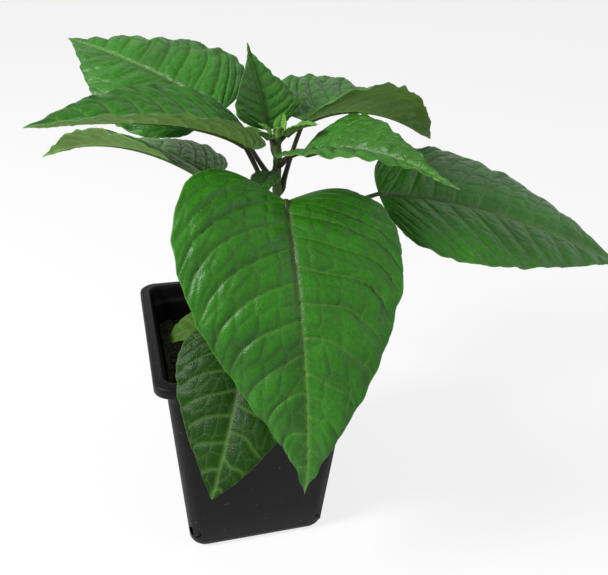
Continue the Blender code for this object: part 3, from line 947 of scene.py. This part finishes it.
class CHILLI_OT_leaves(Operator):
    """Make every leaf as a quilted blade and a stalk, and the leaflets of the growing point"""

    bl_idname = "chilli.leaves"
    bl_label = "Leaves"

    def execute(self, context):
        settings = context.scene.chilli_leaves
        stalks = context.scene.chilli_stalks
        under = underside_finish(settings)
        sheens = {"dark": 0.12, "dull": 0.12}
        greens = {name: blade_finish("leaf_" + name, tuple(getattr(settings, name)), settings,
                                     tuple(stalks.purple), sheens.get(name, 0.26))
                  for name in ("mature", "dark", "dull", "bright", "light", "fresh")}
        petiole = stalk_finish("leaf_stalk", stalks, 0.45)
        for seed, leaf in enumerate(LEAVES, start=1):
            slot = "young_leaf_green" if leaf.finish in ("light", "fresh") else "leaf_green"
            settle(blade_piece(leaf, [greens[leaf.finish], under], settings, seed), slot, leaf.name)
            settle(stalk_piece(leaf, petiole, settings.relief), "stem_green", leaf.name)
        for seed, leaf in enumerate(TIP_LEAFLETS, start=31):
            leaflet = blade_piece(leaf, [greens[leaf.finish], under], settings, seed)
            settle(leaflet, "young_leaf_green", "shoot_tip")
        return {"FINISHED"}


class CHILLI_OT_stage(Operator):
    """Set the floor, the lamps, the sky and the camera"""

    bl_idname = "chilli.stage"
    bl_label = "Stage"

    def execute(self, context):
        settings = context.scene.chilli_stage
        self.floor()
        self.lamp("key_lamp", (-0.95, -0.2, 0.8), settings.key_power, 0.35)
        self.lamp("fill_lamp", (0.9, -0.5, 0.6), settings.fill_power, 0.9)
        self.sky(context, settings)
        self.camera(context, settings)
        context.scene.view_settings.view_transform = "Standard"
        return {"FINISHED"}

    @staticmethod
    def floor():
        """A pale floor that nearly glows for the camera and keeps a soft shadow."""
        bm = bmesh.new()
        bmesh.ops.create_grid(bm, x_segments=1, y_segments=1, size=6.0)
        bmesh.ops.translate(bm, vec=(0, 0, -0.0003), verts=bm.verts)
        f = Finish("pale_floor")
        f.set(base_color=(0.88, 0.88, 0.87), roughness=0.85)
        path = f.node("ShaderNodeLightPath").outputs
        seen = (Value(f, path["Is Camera Ray"]) + Value(f, path["Is Glossy Ray"])
                + Value(f, path["Is Transmission Ray"]))
        glow = f.node("ShaderNodeEmission", None, {"Color": (1.0, 1.0, 1.0), "Strength": 1.0})
        blend = f.node("ShaderNodeMixShader", None, {0: seen * 0.8})
        f.tree.links.new(f.shader.outputs[0], blend.inputs[1])
        f.tree.links.new(glow.outputs[0], blend.inputs[2])
        f.tree.links.new(blend.outputs[0], f.tree.nodes["Material Output"].inputs["Surface"])
        piece_from(bm, "floor", [f.material])

    @staticmethod
    def lamp(name, place, power, size):
        """A round soft lamp aimed at the plant."""
        data = bpy.data.lights.new(name, "AREA")
        data.energy = power
        data.shape = "DISK"
        data.size = size
        lamp = bpy.data.objects.new(name, data)
        lamp.location = place
        aim = LAMP_AIM - Vector(place)
        lamp.rotation_euler = aim.to_track_quat("-Z", "Y").to_euler()
        bpy.context.scene.collection.objects.link(lamp)

    @staticmethod
    def sky(context, settings):
        """Even light all round, seen as white by the camera and in reflections."""
        world = bpy.data.worlds.new("studio")
        world.use_nodes = True
        tree = world.node_tree
        light = tree.nodes["Background"]
        light.inputs["Color"].default_value = (0.96, 0.98, 1.0, 1.0)
        light.inputs["Strength"].default_value = settings.sky
        white = tree.nodes.new("ShaderNodeBackground")
        path = tree.nodes.new("ShaderNodeLightPath")
        blend = tree.nodes.new("ShaderNodeMixShader")
        either = path.outputs["Is Camera Ray"]
        for name in ("Is Glossy Ray", "Is Transmission Ray"):
            add = tree.nodes.new("ShaderNodeMath")
            add.operation = "MAXIMUM"
            tree.links.new(either, add.inputs[0])
            tree.links.new(path.outputs[name], add.inputs[1])
            either = add.outputs[0]
        tree.links.new(either, blend.inputs[0])
        tree.links.new(light.outputs[0], blend.inputs[1])
        tree.links.new(white.outputs[0], blend.inputs[2])
        white.inputs["Color"].default_value = (1.0, 1.0, 1.0, 1.0)
        tree.links.new(blend.outputs[0], tree.nodes["World Output"].inputs["Surface"])
        context.scene.world = world

    @staticmethod
    def camera(context, settings):
        """The camera, above the front of the pot and looking down."""
        data = bpy.data.cameras.new("camera")
        data.lens = settings.lens
        data.clip_start = 0.01
        camera = bpy.data.objects.new("camera", data)
        turn = (Matrix.Rotation(-settings.camera_heading, 4, "Z")
                @ Matrix.Rotation(math.pi / 2 - settings.camera_dip, 4, "X")
                @ Matrix.Rotation(settings.camera_roll, 4, "Z"))
        camera.matrix_world = Matrix.Translation(settings.camera_place) @ turn
        context.scene.collection.objects.link(camera)
        context.scene.camera = camera


class CHILLI_PT_panel(Panel):
    """Lists the pieces of the plant"""

    bl_idname = "CHILLI_PT_panel"
    bl_label = "Chilli Plant"
    bl_space_type = "VIEW_3D"
    bl_region_type = "UI"
    bl_category = "Chilli Plant"

    def draw(self, context):
        for operator in OPERATORS:
            self.layout.operator(operator.bl_idname)
        for group in GROUPS:
            settings = getattr(context.scene, group)
            box = self.layout.box()
            for name in settings.__annotations__:
                box.prop(settings, name)


OPERATORS = (CHILLI_OT_pot, CHILLI_OT_compost, CHILLI_OT_stem, CHILLI_OT_leaves, CHILLI_OT_stage)
GROUPS = {
    "chilli_leaves": CHILLI_PG_leaves,
    "chilli_stalks": CHILLI_PG_stalks,
    "chilli_pot": CHILLI_PG_pot,
    "chilli_stage": CHILLI_PG_stage,
}


def register():
    for kind in (*GROUPS.values(), *OPERATORS, CHILLI_PT_panel):
        bpy.utils.register_class(kind)
    for name, kind in GROUPS.items():
        setattr(bpy.types.Scene, name, PointerProperty(type=kind))


def unregister():
    for name in GROUPS:
        delattr(bpy.types.Scene, name)
    for kind in (CHILLI_PT_panel, *reversed(OPERATORS), *reversed(list(GROUPS.values()))):
        bpy.utils.unregister_class(kind)


def main():
    register()
    bpy.ops.chilli.pot()
    bpy.ops.chilli.compost()
    bpy.ops.chilli.stem()
    bpy.ops.chilli.leaves()
    bpy.ops.chilli.stage()


if __name__ == "__main__":
    main()
